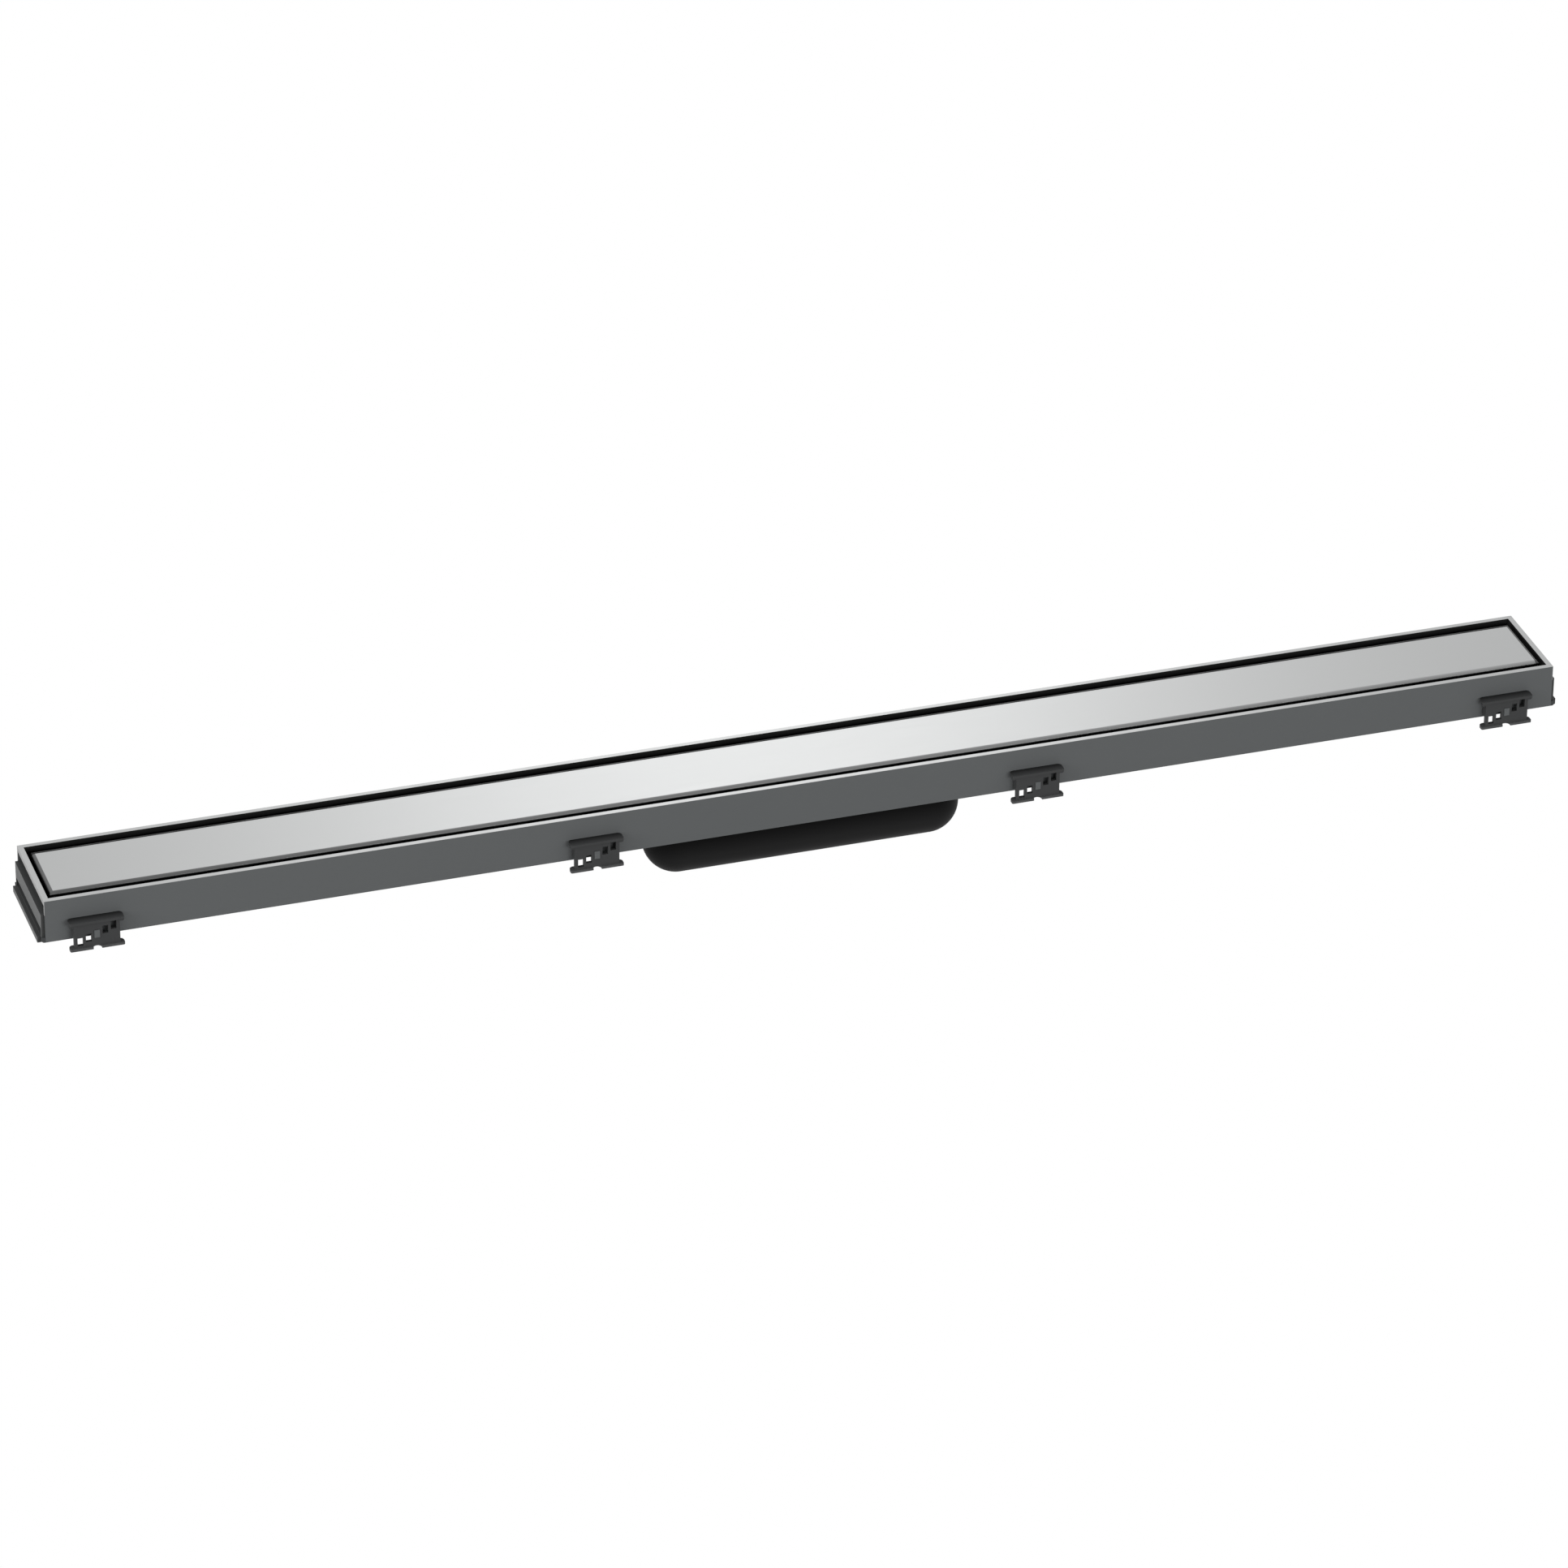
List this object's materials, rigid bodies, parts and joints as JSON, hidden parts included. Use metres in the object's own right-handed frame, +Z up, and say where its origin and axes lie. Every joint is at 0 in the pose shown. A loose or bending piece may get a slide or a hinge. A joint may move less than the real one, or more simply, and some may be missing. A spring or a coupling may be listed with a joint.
{
  "type": "linear shower drain",
  "caption": "Long floor drain with a solid steel cover plate in a tile frame, a plastic channel, a bowl-shaped trap sump below it and clip-on feet along its sides.",
  "frame": {"origin": "middle of the cover's top face, which lies at finished floor level", "axes": "+X along the drain, +Y towards the outlet, +Z up"},
  "size_m": [1.2108, 0.1423, 0.082],
  "materials": {
    "wall_steel": "satin stainless steel",
    "cover_steel": "brushed stainless steel, grain along the drain",
    "screw_steel": "stainless steel",
    "strainer_steel": "stainless steel",
    "black_plastic": "matt black moulded plastic",
    "clip_plastic": "matt dark grey moulded plastic",
    "trap_plastic": "matt grey moulded plastic",
    "seal_rubber": "black rubber"
  },
  "bodies": {
    "root": {"frame": "wall_steel", "cover": "cover_steel", "cover_support_1": "black_plastic", "cover_support_2": "black_plastic", "cover_support_3": "black_plastic", "cover_support_4": "black_plastic", "channel": "black_plastic", "sump": "black_plastic", "sump_gasket": "seal_rubber", "flange_screws": "screw_steel", "trap_insert": "trap_plastic", "insert_seal": "seal_rubber", "strainer": "strainer_steel", "side_clip_front_1": "clip_plastic", "side_clip_front_2": "clip_plastic", "side_clip_front_3": "clip_plastic", "side_clip_front_4": "clip_plastic", "side_clip_rear_1": "clip_plastic", "side_clip_rear_2": "clip_plastic", "side_clip_rear_3": "clip_plastic", "side_clip_rear_4": "clip_plastic", "end_clip_left": "clip_plastic", "end_clip_right": "clip_plastic"}
  },
  "joints": []
}
